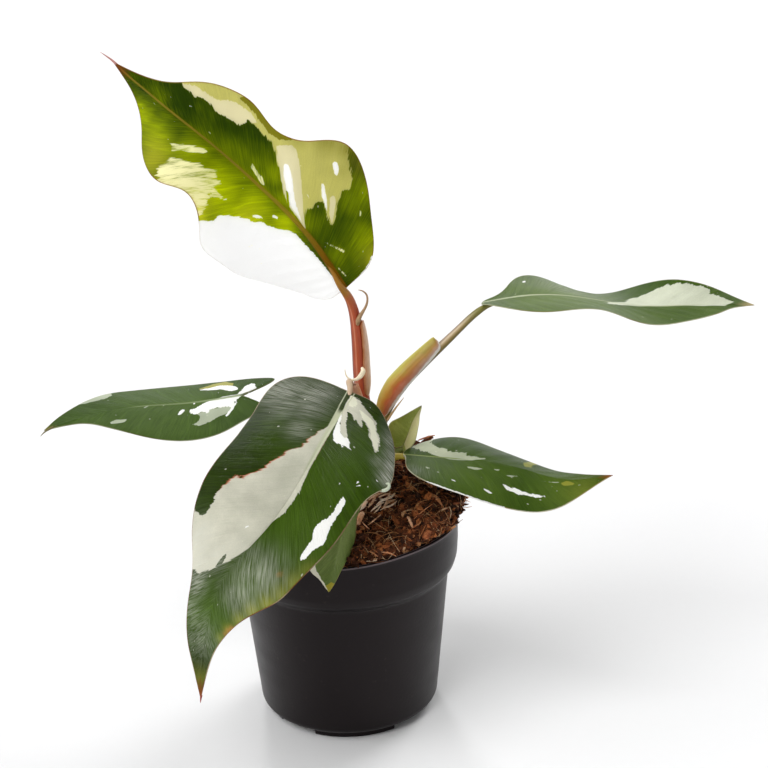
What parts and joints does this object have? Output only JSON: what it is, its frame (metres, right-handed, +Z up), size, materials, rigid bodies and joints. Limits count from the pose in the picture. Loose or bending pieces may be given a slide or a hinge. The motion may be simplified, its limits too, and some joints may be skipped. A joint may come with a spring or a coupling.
{
  "type": "potted plant",
  "caption": "Variegated philodendron with dark green, sage and white heart-shaped leaves on a short stem, growing in a tapered black nursery pot.",
  "frame": {"origin": "centre of the flat middle of the pot's underside, on the pot's axis", "axes": "+Z up along the pot's axis, -Y to the front, where the largest leaf hangs over the rim, +X to the right as seen from the front"},
  "size_m": [0.2841, 0.1437, 0.264],
  "materials": {
    "pot": "satin",
    "soil": "rough, fibrous",
    "stem": "semi-gloss",
    "leaf": "semi-gloss, variegated",
    "leaf_young": "semi-gloss, variegated",
    "stalk_red": "semi-gloss",
    "stalk": "semi-gloss",
    "sheath": "semi-gloss"
  },
  "bodies": {
    "root": {"Pot": "pot", "Soil": "soil", "Stem": "stem", "Leaf_A": "leaf_young", "Leaf_B": "leaf", "Leaf_C": "leaf", "Leaf_D": "leaf", "Leaf_E": "leaf", "Leaf_F": "leaf", "Leaf_G": "leaf", "Stalk_A": "stalk_red", "Stalk_B": "stalk", "Stalk_C": "stalk", "Stalk_D": "stalk", "Stalk_E": "stalk", "Stalk_F": "stalk", "Stalk_G": "stalk", "Sheath_A": "sheath", "Sheath_B": "sheath", "Sheath_C": "sheath"}
  },
  "joints": []
}
